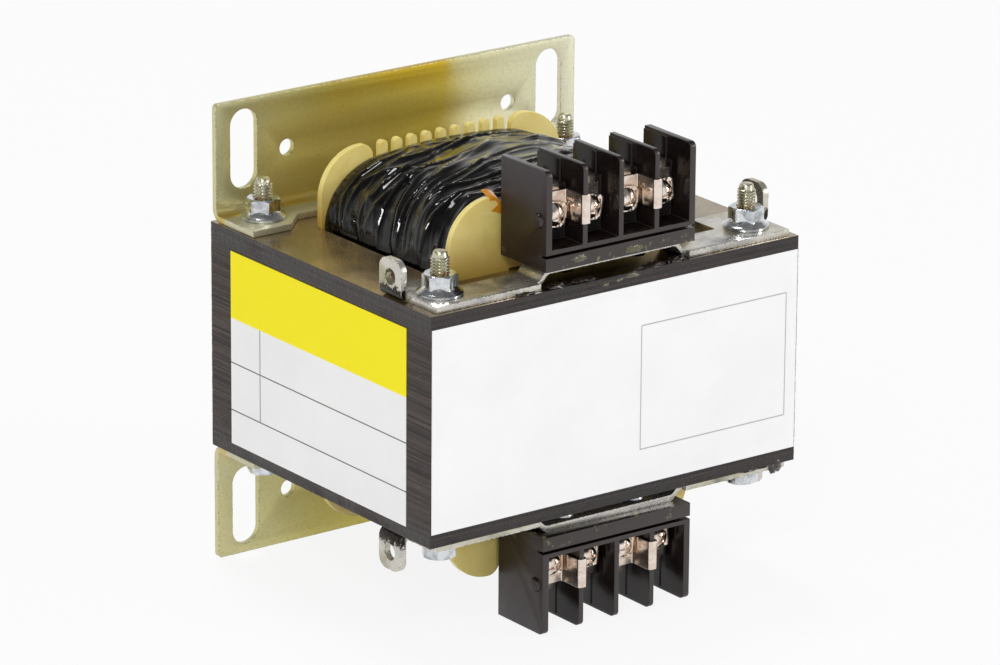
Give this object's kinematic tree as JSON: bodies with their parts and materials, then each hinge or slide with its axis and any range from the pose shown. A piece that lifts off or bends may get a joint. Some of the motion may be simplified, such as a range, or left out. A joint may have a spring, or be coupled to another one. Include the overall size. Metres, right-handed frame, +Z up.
{
  "type": "laminated chassis transformer",
  "caption": "Laminated control transformer with slotted L brackets at the back, barrier terminal blocks with jumper links at the front and a taped coil on a comb bobbin.",
  "frame": {"origin": "on the mounting plane, at the centre of the four small mounting holes", "axes": "+X to the right seen from the label side, +Y towards the panel it is fixed to, +Z up along the stack of laminations"},
  "size_m": [0.1144, 0.097, 0.1216],
  "materials": {
    "core_steel": "varnished",
    "bobbin_nylon": "satin",
    "magnet_wire": "varnished",
    "insulation_film": "satin",
    "black_tape": "glossy",
    "chromate_sheet": "satin",
    "zinc_sheet": "satin",
    "block_phenolic": "satin",
    "nickel_strip": "polished",
    "enamelled_wire": "varnished",
    "zinc_bolt": "satin",
    "zinc_nut": "satin",
    "label_white": "satin",
    "label_yellow": "satin",
    "amber_tape": "glossy"
  },
  "bodies": {
    "root": {"e_laminations": "core_steel", "i_laminations": "core_steel", "bobbin": "bobbin_nylon", "primary_winding": "magnet_wire", "interwinding_insulation": "insulation_film", "secondary_winding": "magnet_wire", "coil_wrap": "black_tape", "upper_mounting_bracket": "chromate_sheet", "lower_mounting_bracket": "chromate_sheet", "upper_terminal_plate": "zinc_sheet", "lower_terminal_plate": "zinc_sheet", "upper_terminal_block": "block_phenolic", "lower_terminal_block": "block_phenolic", "upper_terminal_tabs": "nickel_strip", "lower_terminal_tabs": "nickel_strip", "upper_terminal_screws": "zinc_nut", "lower_terminal_screws": "zinc_nut", "upper_clamp_washers": "nickel_strip", "lower_clamp_washers": "nickel_strip", "upper_jumper_links": "nickel_strip", "lower_jumper_links": "nickel_strip", "upper_block_screws": "zinc_nut", "lower_block_screws": "zinc_nut", "upper_coil_leads": "enamelled_wire", "lower_coil_leads": "enamelled_wire", "clamp_bolts": "zinc_bolt", "flange_nuts": "zinc_nut", "front_label": "label_white", "side_label": "label_yellow", "polyimide_tape": "amber_tape"}
  },
  "joints": []
}
